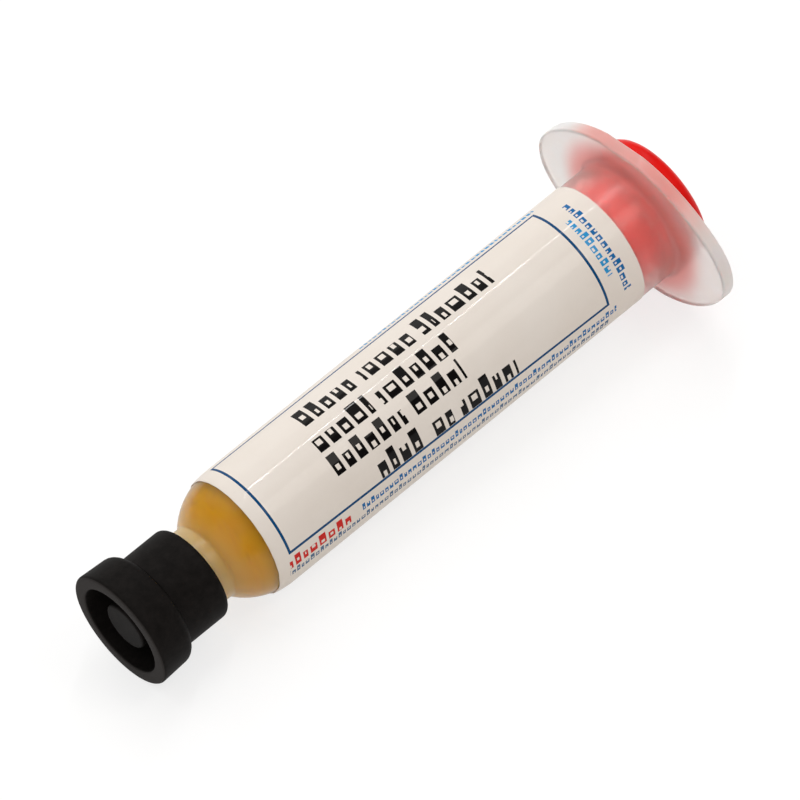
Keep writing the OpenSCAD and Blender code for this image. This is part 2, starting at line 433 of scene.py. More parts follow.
def syringe_mm(tree):
    """Object coordinates brought back into the syringe's frame, in millimetres: times 1000, turned
    back by the tilt and moved, which undoes lie_down. On them a pattern's scale is one over the
    size of its lumps in millimetres."""
    back_x = middle_x * math.cos(tilt) - lift * math.sin(tilt)
    back_z = -middle_x * math.sin(tilt) - lift * math.cos(tilt)
    inputs = {
        "Vector": add_node(tree, "TexCoord").outputs["Object"],
        "Scale": (1000, 1000, 1000),
        "Rotation": (0, tilt, 0),
        "Location": (back_x, 0, back_z),
    }
    return add_node(tree, "Mapping", inputs)


print("the screen's mid grey in linear light:", round(linear("#808080")[0], 3))

# %% [markdown]
# Natural polypropylene is what the barrel is moulded from: colourless but milky, because its
# crystals scatter light. Light that enters it wanders, so the plastic takes on the colour of what
# it touches: amber over the gel, red over the plug, and white again out on the flange. A volume
# could scatter that light, but it is slow and noisy. Here the plastic is a rough glass with a milky
# body, and that carried amber and red light is painted into its colour, which follows the station
# along the axis and the radius.

# %% Finish: natural polypropylene
wall_clear = 0.87
neck_clear = 0.5
root_milk = 0.35
rim_milk = 0.65
# The painted red glow on the rim is centred this far towards the camera, in millimetres
painted_glow_shift = 2.5
# Where each look begins and where it is full, in millimetres: out over the flange by radius, the
# flange's root by station, its rim by distance from its middle plane, the clear ends of the oval by
# distance from the painted glow, and the neck by station
outward_fade = (tube_r + 0.8, tube_r + 5)
root_fade = (flange_x - 2.6, flange_x - 0.8)
rim_fade = (1.05, 0.8)
end_fade = (7, 15)
neck_fade = (dome_x - 1, dome_x + 2.5)
# The painted through-colour is a colour ramp over this many millimetres of the axis. Its stops are
# stations and the colours of painted light that the wall takes there from what lies behind it
ramp_len = 100
painted_through_stops = (
    (13, "#ffdcae"),
    (dome_x, "#ffcf80"),
    (dome_x + 3, "#f0c22c"),
    (piston_x - 3, "#f0c22c"),
    (piston_x, "#f4efe9"),
    (plug_x - 1, "#f4eeea"),
    (plug_x, "#ffcac4"),
)


def natural_polypropylene():
    """Milky translucent moulding, satin, refractive index 1.49, tinted by painted amber and red
    light from the gel and the plug behind it, with clouds about 4 mm across and a skin that is
    uneven over
    0.6 mm, as on a matt mould.
    It is least clear in the solid neck, at the flange's root and round its rim, where it is thick.
    Each fade is a smooth step: 3 t^2 - 2 t^3, with t from 0 to 1 between its two ends."""
    material, tree = new_material("natural_polypropylene_moulded")
    where = syringe_mm(tree)
    soft = {"interpolation_type": "SMOOTHSTEP"}
    x, y, z = add_node(tree, "SeparateXYZ", [where]).outputs
    off_axis = add_node(tree, "CombineXYZ", {"Y": y, "Z": z})
    radius = add_node(tree, "VectorMath", [off_axis], operation="LENGTH").outputs["Value"]
    outward = add_node(tree, "MapRange", [radius, *outward_fade], **soft)
    inward = add_node(tree, "Math", [1.0, outward], operation="SUBTRACT")
    root = add_node(tree, "MapRange", [x, *root_fade], **soft)
    depth = add_node(tree, "Math", [x, flange_x + flange_t / 2], operation="SUBTRACT")
    depth = add_node(tree, "Math", [depth], operation="ABSOLUTE")
    rim = add_node(tree, "MapRange", [depth, *rim_fade], **soft)
    rim = add_node(tree, "Math", [rim, outward], operation="MULTIPLY")
    lobe = add_node(tree, "Math", [y, painted_glow_shift], operation="ADD")
    lobe = add_node(tree, "Math", [lobe], operation="ABSOLUTE")
    lobe = add_node(tree, "MapRange", [lobe, *end_fade], **soft)

    cloud = add_node(tree, "TexNoise", {"Vector": where, "Scale": 0.25, "Detail": 3.0})
    milk = add_node(tree, "ValToRGB", [cloud], stops=((0.3, "#faf4f0"), (0.7, "#fdfaf8")))
    station = add_node(tree, "Math", [x, 1 / ramp_len], operation="MULTIPLY")
    stops = [(at / ramp_len, colour) for at, colour in painted_through_stops]
    # Painted light: the amber of the gel and the red of the plug, seen through the wall, painted
    # into its colour by station
    painted_through_colour = add_node(tree, "ValToRGB", [station], stops=stops)
    # Painted red glow from the plug, deepest at the flange's root
    painted_through_colour = add_node(tree, "Mix", {0: root, 6: painted_through_colour, 7: linear("#ffaca6")}, data_type="RGBA")
    # Painted red glow round the flange's rim, fading out at the clear ends of the oval
    glow = add_node(tree, "Math", [rim, lobe], operation="SUBTRACT")
    glow = add_node(tree, "Mix", {0: glow, 6: milk, 7: linear("#f9b4ae")}, data_type="RGBA")
    colour = add_node(tree, "Mix", {0: outward, 6: painted_through_colour, 7: glow}, data_type="RGBA")

    thick = add_node(tree, "Math", [root, inward], operation="MULTIPLY")
    thick = add_node(tree, "Math", [thick, root_milk], operation="MULTIPLY")
    thick = add_node(tree, "Math", [rim, rim_milk, thick], operation="MULTIPLY_ADD")
    clear = add_node(tree, "MapRange", [x, *neck_fade, neck_clear, wall_clear], **soft)
    clear = add_node(tree, "Mix", {0: thick, 2: clear, 3: 0.0}, data_type="FLOAT")

    skin = add_node(tree, "TexNoise", {"Vector": where, "Scale": 1.6, "Detail": 4.0})
    relief = add_node(tree, "Bump", {"Height": skin, "Strength": 0.06, "Distance": 0.0002})
    looks = {
        "Base Color": colour,
        "Transmission Weight": clear,
        "Normal": relief,
        "Roughness": 0.3,
        "IOR": 1.49,
        "Specular IOR Level": 0.12,
        "Subsurface Weight": 1.0,
        "Subsurface Radius": (1.0, 0.9, 0.85),
        "Subsurface Scale": 0.0015,
        "Sheen Weight": 0.1,
        "Sheen Roughness": 0.4,
        "Coat Weight": 0.1,
        "Coat Roughness": 0.08,
    }
    return give_looks(material, looks)


milky = natural_polypropylene()

# %% [markdown]
# Flux gel is rosin in a waxy carrier: amber, cloudy and soft, with lighter and darker swirls from
# filling. It lets light in a few millimetres. A volume could do that, but subsurface scattering is
# quicker and as soft, so it gets that, reaching far in red and hardly in blue, and slow noise for
# the swirls.

# %% Finish: amber flux gel
def amber_flux():
    """Cloudy amber gel with swirls about 5 mm across."""
    material, tree = new_material("amber_flux_gel")
    inputs = {"Vector": syringe_mm(tree), "Scale": 0.2, "Detail": 2.0, "Distortion": 0.6}
    swirl = add_node(tree, "TexNoise", inputs)
    ambers = ((0.3, "#cfae16"), (0.55, "#d4b51c"), (0.75, "#dabd28"))
    colour = add_node(tree, "ValToRGB", [swirl], stops=ambers)
    looks = {
        "Base Color": colour,
        "Roughness": 0.5,
        "Specular IOR Level": 0.1,
        "Subsurface Weight": 0.4,
        "Subsurface Radius": (1.0, 0.5, 0.15),
        "Subsurface Scale": 0.002,
    }
    return give_looks(material, looks)


flux = amber_flux()

# %% [markdown]
# The cap is a soft black rubber moulding. Rubber is dark but never black: it has a dull grey bloom,
# a fine grain from the mould and a little pale dust in the grain. The grain is too small to model,
# so a bump draws it. The flat front face of the ring is painted paler than the rest, as painted
# light from the front.

# %% Finish: black rubber
front_face_x = 0.12


def black_rubber():
    """Matte rubber: rough, with a grain of 0.3 mm, a faint dusting in specks of 1.4 mm, drawn
    coarser than real so that it shows, and a front face painted paler, as painted light from the
    front."""
    material, tree = new_material("black_rubber_moulded")
    where = syringe_mm(tree)
    dust = {"Vector": where, "Scale": 0.7, "Detail": 5.0, "Roughness": 0.65}
    dust = add_node(tree, "TexNoise", dust)
    colour = add_node(tree, "ValToRGB", [dust], stops=((0.35, "#131110"), (0.75, "#1e1b1a")))
    station = add_node(tree, "SeparateXYZ", [where]).outputs["X"]
    # Painted light: the flat front face of the ring is painted paler, for the light it gets from
    # the front
    painted_lit_face = add_node(tree, "Math", [station, front_face_x], operation="LESS_THAN")
    colour = add_node(tree, "Mix", {0: painted_lit_face, 6: colour, 7: linear("#2e2b2a")}, data_type="RGBA")
    grain = add_node(tree, "TexNoise", {"Vector": where, "Scale": 3.0, "Detail": 3.0})
    relief = add_node(tree, "Bump", {"Height": grain, "Strength": 0.12, "Distance": 0.0002})
    looks = {
        "Base Color": colour,
        "Normal": relief,
        "Roughness": 0.6,
        "Specular IOR Level": 0.05,
    }
    return give_looks(material, looks)


rubber = black_rubber()

# %% [markdown]
# The plug is dyed low-density polyethylene, a waxy plastic with a soft gloss. Strong pigment makes
# it almost opaque, and a little subsurface scattering lets its thin edges glow. Its skirt is given
# a clearer red than its head, because the milky barrel lights it from all round.

# %% Finish: red polyethylene
# The skirt's red ends just inside the mouth
skirt_end_x = rear_x - 0.2


def red_polyethylene():
    """Bright red dyed polyethylene with a soft gloss, a tone that drifts over 3 mm, and a clearer
    red on the skirt."""
    material, tree = new_material("red_polyethylene_moulded")
    where = syringe_mm(tree)
    tone = add_node(tree, "TexNoise", {"Vector": where, "Scale": 0.3, "Detail": 2.0})
    colour = add_node(tree, "ValToRGB", [tone], stops=((0.35, "#dc0b07"), (0.7, "#e8150e")))
    station = add_node(tree, "SeparateXYZ", [where]).outputs["X"]
    skirt = add_node(tree, "Math", [station, skirt_end_x], operation="LESS_THAN")
    colour = add_node(tree, "Mix", {0: skirt, 6: colour, 7: linear("#ff2014")}, data_type="RGBA")
    looks = {
        "Base Color": colour,
        "Roughness": 0.35,
        "IOR": 1.51,
        "Specular IOR Level": 0.1,
        "Subsurface Weight": 0.25,
        "Subsurface Radius": (1.0, 0.15, 0.1),
        "Subsurface Scale": 0.001,
    }
    return give_looks(material, looks)


red_plastic = red_polyethylene()

# %% [markdown]
# The piston is natural polyethylene, whiter and waxier than the barrel. It wipes the bore, so it
# needs no grease, and its finish is plain satin with a slight cloud.

# %% Finish: natural polyethylene
def natural_polyethylene():
    """Waxy white polyethylene, satin, with a cloud about 2.5 mm across."""
    material, tree = new_material("natural_polyethylene_moulded")
    tone = add_node(tree, "TexNoise", {"Vector": syringe_mm(tree), "Scale": 0.4, "Detail": 2.0})
    colour = add_node(tree, "ValToRGB", [tone], stops=((0.3, "#e6e6e2"), (0.7, "#f2f2ee")))
    looks = {
        "Base Color": colour,
        "Roughness": 0.38,
        "IOR": 1.51,
        "Subsurface Weight": 0.5,
        "Subsurface Radius": (1.0, 0.9, 0.8),
        "Subsurface Scale": 0.001,
    }
    return give_looks(material, looks)


white_plastic = natural_polyethylene()

# %% [markdown]
# The label is white film. Its print is generic: a thin blue frame round a panel, four rows of large
# dark blocks and a few rows of small ones, where a maker would put words. An image could hold it,
# but nodes draw it sharp at any size, in the label's own millimetres, which its UV map holds. A row
# cuts its length into blocks with a one-dimensional Voronoi pattern, whose cells have uneven widths
# as letters have.

# %% Finish: printed label film
# One unit of the UV map is this many millimetres
uv_unit = 100
print_turn = math.radians(1.5)
# The blue frame's left, right, lower and upper edges and its line, in millimetres
panel = (-29.5, 29.3, -7.65, 11.75)
panel_line = 0.4
# In a row, as shares of a cell: how uneven the cells are, a block's margin and its slot's margin
cell_uneven = 0.55
block_gap = 0.15
slot_edge = 0.35
# As shares of a block's height from the row's middle: where tall and short blocks end, where the
# highest slots lie, how far down the others reach, and half a slot's height
tall_top = 0.5
short_top = 0.18
slot_top = 0.1
slot_fall = 0.5
slot_half = 0.13
# Six blocks of ten are short, and rows lower than slot_row have no slots
short_share = 0.6
slot_row = 1.1
# Rows start at places this far apart in the endless pattern, so that no two are alike
row_shift = 7.3
cross_start = 91.7
cross_shift = 5.1
ink_dark = "#080505"
ink_line = "#0b4878"
ink_blue = "#1c6aa8"
ink_pale_blue = "#2f95cf"
ink_grey = "#4a6a8c"
ink_red = "#cf1a12"
# Each row: centre across, blocks' height, block pitch, ink, then its words as (start, end)
big_rows = (
    (7.32, 3.5, 2.1, ink_dark, ((-17.1, -7.4), (-6.0, 3.2), (4.6, 17.3))),
    (2.65, 3.1, 2.1, ink_dark, ((-17.9, -8.0), (-6.6, 6.7))),
    (-1.23, 3.1, 2.1, ink_dark, ((-18.0, -5.2), (-3.8, 5.4))),
    (-5.51, 3.4, 2.1, ink_dark, ((-12.8, -4.4), (-3.0, 1.0), (2.4, 12.7))),
    (-9.25, 1.9, 1.5, ink_red, ((-29.8, -18.4),)),
)
small_rows = (
    (-9.2, 1.2, 0.85, ink_blue, ((-16.8, 30.4),)),
    (-11.1, 1.2, 0.85, ink_grey, ((-29.9, 29.1),)),
    (13.1, 1.0, 0.85, ink_pale_blue, ((-2.0, 30.0),)),
)
cross_rows = (
    (31.2, 1.25, 1.1, ink_pale_blue, ((-3.6, 6.1),)),
    (32.8, 1.25, 1.1, ink_blue, ((-7.2, 8.9),)),
)


def field(tree, run, rise, left, right_end, low, high):
    """1 inside a rectangle of the print and 0 outside it: both run and rise are within half its
    width and half its height of its middle."""
    middle = [run, (left + right_end) / 2, (right_end - left) / 2]
    along_row = add_node(tree, "Math", middle, operation="COMPARE")
    middle = [rise, (low + high) / 2, (high - low) / 2]
    across_row = add_node(tree, "Math", middle, operation="COMPARE")
    return add_node(tree, "Math", [along_row, across_row], operation="MULTIPLY")


def word_row(tree, run, rise, row, shift):
    """1 on the row's blocks: inside one of its words, away from the cells' edges, and under the
    cell's own height, which is full for some blocks and lower for the others. In all but the lowest
    rows each block also has a slot in it, at the cell's own level."""
    level, height, pitch, _, words = row
    cells = add_node(tree, "Math", [run, 1 / pitch, shift], operation="MULTIPLY_ADD")
    uneven = {"W": cells, "Scale": 1.0, "Randomness": cell_uneven}
    line = {"voronoi_dimensions": "1D"}
    edge = add_node(tree, "TexVoronoi", uneven, feature="DISTANCE_TO_EDGE", **line)
    cell = add_node(tree, "TexVoronoi", uneven, feature="F1", **line)
    tall, slot_level, _ = add_node(tree, "SeparateColor", [cell.outputs["Color"]]).outputs
    tall = add_node(tree, "Math", [tall, short_share], operation="GREATER_THAN")
    top = [tall, (tall_top - short_top) * height, level + short_top * height]
    top = add_node(tree, "Math", top, operation="MULTIPLY_ADD")
    under = add_node(tree, "Math", [rise, top], operation="LESS_THAN")
    block = add_node(tree, "Math", [edge, block_gap], operation="GREATER_THAN")
    block = add_node(tree, "Math", [block, under], operation="MULTIPLY")
    if height > slot_row:
        slot_level = [slot_level, -slot_fall * height, level + slot_top * height]
        slot_level = add_node(tree, "Math", slot_level, operation="MULTIPLY_ADD")
        slot = [rise, slot_level, slot_half * height]
        slot = add_node(tree, "Math", slot, operation="COMPARE")
        deep = add_node(tree, "Math", [edge, slot_edge], operation="GREATER_THAN")
        slot = add_node(tree, "Math", [slot, deep], operation="MULTIPLY")
        block = add_node(tree, "Math", [block, slot], operation="SUBTRACT", use_clamp=True)
    low, high = level - height / 2, level + height / 2
    spans = field(tree, run, rise, *words[0], low, high)
    for word in words[1:]:
        word = field(tree, run, rise, *word, low, high)
        spans = add_node(tree, "Math", [spans, word], operation="MAXIMUM")
    return add_node(tree, "Math", [block, spans], operation="MULTIPLY")


def label_film():
    """White satin film with generic print under a thin clear gloss. Its tone drifts over 12 mm, and
    it is very slightly uneven over 3 mm, which breaks up what it reflects."""
    material, tree = new_material("printed_label_film")
    uv = add_node(tree, "UVMap", uv_map="print")
    where = {"Vector": uv, "Scale": (uv_unit, uv_unit, 1), "Rotation": (0, 0, print_turn)}
    where = add_node(tree, "Mapping", where)
    run, rise, _ = add_node(tree, "SeparateXYZ", [where]).outputs
    tone = add_node(tree, "TexNoise", {"Vector": where, "Scale": 0.08, "Detail": 2.0})
    colour = add_node(tree, "ValToRGB", [tone], stops=((0.3, "#e8dfd6"), (0.7, "#ece4dc")))
    left, right_end, low, high = panel
    w = panel_line
    outer = field(tree, run, rise, left, right_end, low, high)
    inner = field(tree, run, rise, left + w, right_end - w, low + w, high - w)
    frame_line = add_node(tree, "Math", [outer, inner], operation="SUBTRACT")
    masks = [(frame_line, ink_line)]
    for k, row in enumerate(big_rows + small_rows):
        masks.append((word_row(tree, run, rise, row, row_shift * k), row[3]))
    for k, row in enumerate(cross_rows):
        shift = cross_start + cross_shift * k
        masks.append((word_row(tree, rise, run, row, shift), row[3]))
    for mask, ink in masks:
        colour = add_node(tree, "Mix", {0: mask, 6: colour, 7: linear(ink)}, data_type="RGBA")
    uneven = {"Vector": where, "Scale": 0.35, "Detail": 4.0, "Roughness": 0.6}
    uneven = add_node(tree, "TexNoise", uneven)
    relief = add_node(tree, "Bump", {"Height": uneven, "Strength": 0.25, "Distance": 0.0002})
    looks = {
        "Base Color": colour,
        "Normal": relief,
        "Roughness": 0.5,
        "Specular IOR Level": 0.02,
        "Coat Weight": 0.25,
        "Coat Roughness": 0.05,
    }
    return give_looks(material, looks)


film = label_film()

# %% [markdown]
# The oval of the finger flange is drawn with four arcs, two at its ends and two at its sides, and a
# flat on each long side. It could be an extruded curve, but the barrel is one turned surface. Seen
# from the axis the oval is one radius for each angle: the distance to the end arc near the long
# axis, the distance to the side arc elsewhere, and never past the flat.

# %% The flange's oval
flange_half = 18.5
oval_half = 13.6
end_r = 8.5
rim_r = 0.4
fillet_r = 0.8
side_r = (flange_half**2 + oval_half**2 - 2 * flange_half * end_r) / (2 * (oval_half - end_r))
end_off = flange_half - end_r
side_off = side_r - oval_half
# The arcs touch on the line through their centres, at this angle from the long axis
meet_wide = side_r * end_off / (side_r - end_r)
meet_high = side_r * side_off / (side_r - end_r) - side_off
meet = math.atan2(meet_high, meet_wide)


def side_arc(angles):
    """Radius of a side arc at an angle from the long axis: sqrt(R^2 - (C cos a)^2) - C |sin a|."""
    c, s = np.cos(angles), np.abs(np.sin(angles))
    return np.sqrt(side_r**2 - (side_off * c) ** 2) - side_off * s


def oval(angles):
    """Radius of the flange at an angle from its long axis: c cos a + sqrt(r^2 - (c sin a)^2) for an
    end arc and the side arc for the rest, limited by the flat at f / sin a."""
    c, s = np.abs(np.cos(angles)), np.abs(np.sin(angles))
    end = end_off * c + np.sqrt(np.maximum(end_r**2 - (end_off * s) ** 2, 0))
    both = np.where(np.arctan2(s, c) < meet, end, side_arc(angles))
    return np.minimum(both, flange_flat / np.maximum(s, tiny))


long_half, short_half = oval(np.array([0, np.pi / 2]))
print(f"flange: {2 * long_half:.1f} by {2 * short_half:.1f} mm")

# %% [markdown]
# The barrel is one moulding, so it is one surface. Its section is a single loop: up the nozzle
# channel, round the inside of the dome, along the bore, over the flange and back outside to the
# collar, whose ring gap holds the nozzle cone. Inside the collar runs a double thread for a needle
# hub. A cutter could be swept and subtracted, but that leaves ragged edges. Here the radius follows
# a wave with two crests in a turn, which climbs 5 mm in it.

# %% Barrel
dome_rise = tube_r - collar_r
dome_arc_r = (dome_len**2 + dome_rise**2) / (2 * dome_rise)
dome_centre = (tube_x, tube_r - dome_arc_r)
neck_fillet = 0.6
mouth_chamfer = 0.5
thread_pitch = 2.5
thread_depth = 0.45
thread_steep = 1.2
thread_row = 0.16
# The thread starts and ends this far inside its hole, and fades in and out over these lengths
thread_end = 0.5
thread_in = 0.6
thread_out = 0.8
# The range in which a flat's corner is looked for is halved this often
halvings = 40


def dome_arc(centre_x, grow, back, steps=28):
    """Corners along the dome's arc, shifted to end at centre_x and grown by grow, from back
    millimetres before it up to it. Its radius is c + sqrt((R + grow)^2 - d^2) at distance d."""
    radius = dome_arc_r + grow
    start = 180 - math.degrees(math.acos(back / radius))
    return arc((centre_x, dome_centre[1]), radius, start, 90, steps)


def dome_back(grow, down_to):
    """How far before its end the dome's arc, grown by grow, comes down to a radius."""
    return math.sqrt((dome_arc_r + grow) ** 2 - (down_to - dome_centre[1]) ** 2)


def barrel_section():
    """The barrel's loop of corners, from the tip of the channel round to the tip of the nozzle."""
    cone_floor_r = nozzle_tip_r + nozzle_slope * (collar_floor_x - nozzle_x)
    outer = dome_arc(tube_x, 0, dome_len)[::-1]
    outer[-1, 2] = neck_fillet
    return section(
        (nozzle_x, lumen_r, 0.1),
        dome_arc(tube_x, -wall, dome_back(-wall, lumen_r)),
        (rear_x - mouth_chamfer, bore_r, 0.2),
        (rear_x, bore_r + mouth_chamfer, 0.2),
        (rear_x, flange_half, rim_r, 1),
        (flange_x, flange_half, rim_r, 1),
        (flange_x, tube_r, fillet_r),
        outer,
        (collar_x, collar_r, 0.25),
        (collar_x, collar_in_r, 0.25),
        (collar_floor_x, collar_in_r, 0.2),
        (collar_floor_x, cone_floor_r, 0.2),
        (nozzle_x, nozzle_tip_r, 0.2),
        step=0.9,
        closed=True,
    )


def with_thread(outline):
    """The outline with the collar's inner stretch cut finer, into rows thread_row apart."""
    inner = np.abs(outline[:, 1] - collar_in_r) < tiny
    rows = np.flatnonzero(inner)
    a, b = outline[rows[0]], outline[rows[-1]]
    fine = stretch(a, b, thread_row)
    return np.vstack([outline[: rows[0]], a, fine, b, outline[rows[-1] + 1 :]])


def snapped_angles():
    """The turn's angles with the nearest one slid onto each corner of the two flats. A corner lies
    where the side arc's radius times sin a is the flat's height, found by halving a range."""
    angles = turn_angles.copy()
    low, high = 0.5, np.pi / 2
    for _ in range(halvings):
        middle = (low + high) / 2
        below = side_arc(middle) * math.sin(middle) < flange_flat
        low, high = (middle, high) if below else (low, middle)
    for corner in (low, np.pi - low, np.pi + low, 2 * np.pi - low):
        angles[np.argmin(np.abs(angles - corner))] = corner
    return angles


def make_barrel():
    """The turned section with two changes to its radius r. Over the flange r + oval(a) - its half
    length, and in the collar r + depth * clip(0.5 + steepness * cos(2 a + 2 pi x / pitch)), faded
    in and out at the ends of the thread."""
    outline = with_thread(barrel_section())
    angles = snapped_angles()
    x, base, reach = outline[:, 0, None], outline[:, 1, None], outline[:, 2, None]
    radii = base + reach * (oval(angles)[None, :] - flange_half)
    phase = 2 * angles[None, :] + 2 * np.pi * x / thread_pitch
    groove = np.clip(0.5 + thread_steep * np.cos(phase), 0, 1)
    fade = np.clip((x - collar_x - thread_end) / thread_in, 0, 1)
    fade = fade * np.clip((collar_floor_x - thread_end - x) / thread_out, 0, 1)
    in_collar = np.abs(base - collar_in_r) < tiny
    radii = radii + np.where(in_collar, thread_depth * groove * fade, 0)
    points, faces = turned(outline[:, 0], radii, angles)
    add_piece("barrel_shell", points, faces, milky, "barrel", "barrel", ["barrel"])


make_barrel()

# %% [markdown]
# The flux fills the channel, the dome and the bore up to the piston. It is made in two pieces that
# meet under the label: the part in the dome stays with the barrel, and the column in the bore is a
# piece with its own mesh, because in the real syringe the gel leaves through the nozzle as the
# piston comes forward. Gel wets the wall, so its surface reaches a hair into the plastic and no
# film of air shines between the two.

# %% Flux
wet = 0.01
# The gel starts this far inside the channel, and its rear is a cup round the piston's nose
channel_free = 0.3
cup_gap = 0.15
cup_deep = 7.35


def make_flux():
    """Two turned solids: one from the channel through the dome's arc, grown by wet, to the start
    of the bore, and a column from there to the cup, which is that arc again round the piston."""
    gel_r = bore_r + wet
    grow = wet - wall
    nose = section(
        (nozzle_x + channel_free, 0),
        (nozzle_x + channel_free, lumen_r + wet, 0.1),
        dome_arc(tube_x, grow, dome_back(grow, lumen_r + wet)),
        (tube_x, 0),
    )
    add_turned("flux_in_dome", nose, flux, "barrel", "flux")
    cup = dome_arc(piston_x, -wall + cup_gap, cup_deep)[::-1]
    column = section(
        (tube_x, 0),
        (tube_x, gel_r),
        (piston_x, gel_r),
        cup[1:],
        (piston_x - cup_deep, 0),
    )
    column_piece = add_turned("flux_column", column, flux, "barrel", "flux")
    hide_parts("flux_paste")
    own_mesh(column_piece)


make_flux()

# %% [markdown]
# The piston has a domed nose that matches the end of the bore, so that hardly any gel is left in
# the barrel, and two lips that wipe the wall. Its back is hollow for a push rod or for air. Its
# section uses the dome's own arc, so nose and dome match without being fitted.

# %% Piston
lip_w = 1.6
piston_wall = 1.2
nose_deep = 7.15
nose_edge_r = 0.4
hollow_deep = 5.95
seal_r = bore_r - fit_gap
waist_r = seal_r - 0.6


def make_piston():
    """A turned section: the dome's arc shrunk by the gap for the nose, two lips as wide as the
    bore allows, a waist between them, and the arc shrunk again by the wall for the hollow."""
    back_x = piston_x + piston_len
    inner_r = waist_r - piston_wall
    shrink = wall + fit_gap
    nose = dome_arc(piston_x, -shrink, nose_deep)
    hollow = dome_arc(piston_x + piston_wall, -shrink - piston_wall, hollow_deep)[::-1]
    nose[0, 2] = nose_edge_r
    outline = section(
        (nose[0, 0], 0),
        nose,
        (piston_x + lip_w, seal_r, 0.15),
        (piston_x + lip_w, waist_r, 0.3),
        (back_x - lip_w, waist_r, 0.3),
        (back_x - lip_w, seal_r, 0.15),
        (back_x, seal_r, 0.3),
        (back_x, inner_r, 0.3),
        (piston_x + piston_wall, inner_r, 0.1),
        hollow,
        (hollow[-1, 0], 0),
    )
    add_turned("piston_body", outline, white_plastic, "piston", "piston", ["piston"])


make_piston()

# %% [markdown]
# The red plug closes the barrel for shipping. It has a round head that lies on the flange and a
# hollow skirt with two sealing beads in the bore. Like the other turned pieces it is one section,
# in which each bead is an arc that stands proud of the skirt.

# %% Rear plug
bead_r = 0.7
bead_relief = 0.35
plug_wall = 1.4


def make_plug():
    """A turned section: the head with its rounded edge, the skirt, two beads and the hollow. A
    bead of radius b meets the skirt at the angle asin((skirt radius - bead centre) / b)."""
    body_r = seal_r - bead_relief
    half = math.degrees(math.asin((body_r - (seal_r - bead_r)) / bead_r))
    rear_bead = arc((plug_x + plug_len / 2, seal_r - bead_r), bead_r, half, 180 - half, 12)
    front_bead = arc((plug_x + bead_r, seal_r - bead_r), bead_r, half, 180, 14)
    outline = section(
        (rear_x + head_t, 0),
        (rear_x + head_t, head_r, head_edge_r),
        (rear_x + soft_gap, head_r, 0.2),
        (rear_x + soft_gap, body_r, 0.2),
        rear_bead,
        front_bead,
        (plug_x, body_r - plug_wall, 0.3),
        (rear_x, body_r - plug_wall, 0.5),
        (rear_x, 0),
    )
    add_turned("rear_plug", outline, red_plastic, "end_cap", "end_cap", ["end_cap"])


make_plug()

# %% [markdown]
# The tip cap is a thick rubber moulding: a grip ring with a ring-shaped recess round a post in
# front, and behind it a skirt whose socket slides over the collar while a hollow boss goes into the
# collar and closes the nozzle. It could be joined from rings and a disc, but as one moulding it is
# one section, from the middle of the post to the nozzle pocket.

# %% Tip cap
ring_rear_r = 8.6
ring_len = 5.9
skirt_r = 7.2
recess_r = 6.8
post_r = 3.55
post_set = 0.9
seat_gap = 0.3
web_t = 2.4


def make_cap():
    """A turned section. The socket follows the collar and the pocket follows the nozzle cone, each
    with the fit gap: the pocket widens by the cone's slope for each millimetre."""
    socket_x = collar_x - seat_gap
    recess_x = socket_x - web_t
    boss_x = collar_floor_x - seat_gap
    pocket_x = nozzle_x - seat_gap
    pocket_r = nozzle_tip_r + fit_gap
    mouth_r = pocket_r + nozzle_slope * (boss_x - nozzle_x)
    outline = section(
        (post_set, 0),
        (post_set, post_r, 0.35),
        (recess_x, post_r, 0.4),
        (recess_x, recess_r, 0.4),
        (0, recess_r, 0.3),
        (0, ring_front_r, ring_edge_r),
        (ring_len, ring_rear_r, 1.5),
        (ring_len, skirt_r, 0.35),
        (cap_len, skirt_r, 0.9),
        (cap_len, collar_r + fit_gap, 0.3),
        (socket_x, collar_r + fit_gap, 0.2),
        (socket_x, post_r, 0.2),
        (boss_x, post_r, 0.3),
        (boss_x, mouth_r, 0.2),
        (nozzle_x, pocket_r),
        (pocket_x, pocket_r, 0.1),
        (pocket_x, 0),
        step=0.7,
    )
    add_turned("tip_cap_body", outline, rubber, "tip_cap", "tip_cap", ["tip_cap"])


make_cap()

# %% [markdown]
# The label is a film wrapped once round the tube, a touch out of square, with a lap seam on the
# side away from the camera. Its front edge hangs over the start of the dome, where a flat film
# can't follow the curve, so it puckers in small waves. Cloth simulation could wrap it, but a film
# stuck on a tube is a plain function of two parameters: the way round and the way along. It is one
# sheet with two faces and closed edges.

# %% Label
label_skew = math.radians(1.9)
film_t = 0.1
seam_turn = math.pi - view_height + math.radians(215)
lap_angle = math.radians(20)
wrap_steps = 360
run_steps = 125
# Rows crowd towards the front edge, where the waves are: each lies at its share to this power
front_crowd = 1.5
# The waves: how many sines, the fewest and the most crests that one has round the tube, and how
# weak and how strong one may be
wave_count = 14
wave_crests = (5, 30)
wave_strengths = (0.3, 1.0)
# How much of the dome's drop the edge follows, how far the waves change that, and its limits
follow_mean = 0.9
follow_swing = 0.35
follow_limits = (0.6, 0.99)
# The film stands this much off the film below it at the lap, and is this uneven elsewhere
lap_gap = 0.01
unevenness = 0.012
lap_start = math.radians(3)
# The print's middle lies this far in front of the label's own
print_shift = 2.05


def sheet(outer, inner):
    """A closed thin sheet from two grids of points: both faces and a strip along each edge."""
    rows, cols, _ = outer.shape
    count = rows * cols
    top = grid_faces(rows, cols, close_cols=False)
    bottom = grid_faces(rows, cols, first=count, close_cols=False)[:, ::-1]
    index = np.arange(count).reshape(rows, cols)
    border = np.concatenate([index[0, :-1], index[:-1, -1], index[-1, :0:-1], index[:0:-1, 0]])
    after = np.roll(border, -1)
    rim = np.stack([border, border + count, after + count, after], axis=1)
    return np.vstack([outer.reshape(-1, 3), inner.reshape(-1, 3)]), [top, bottom, rim]


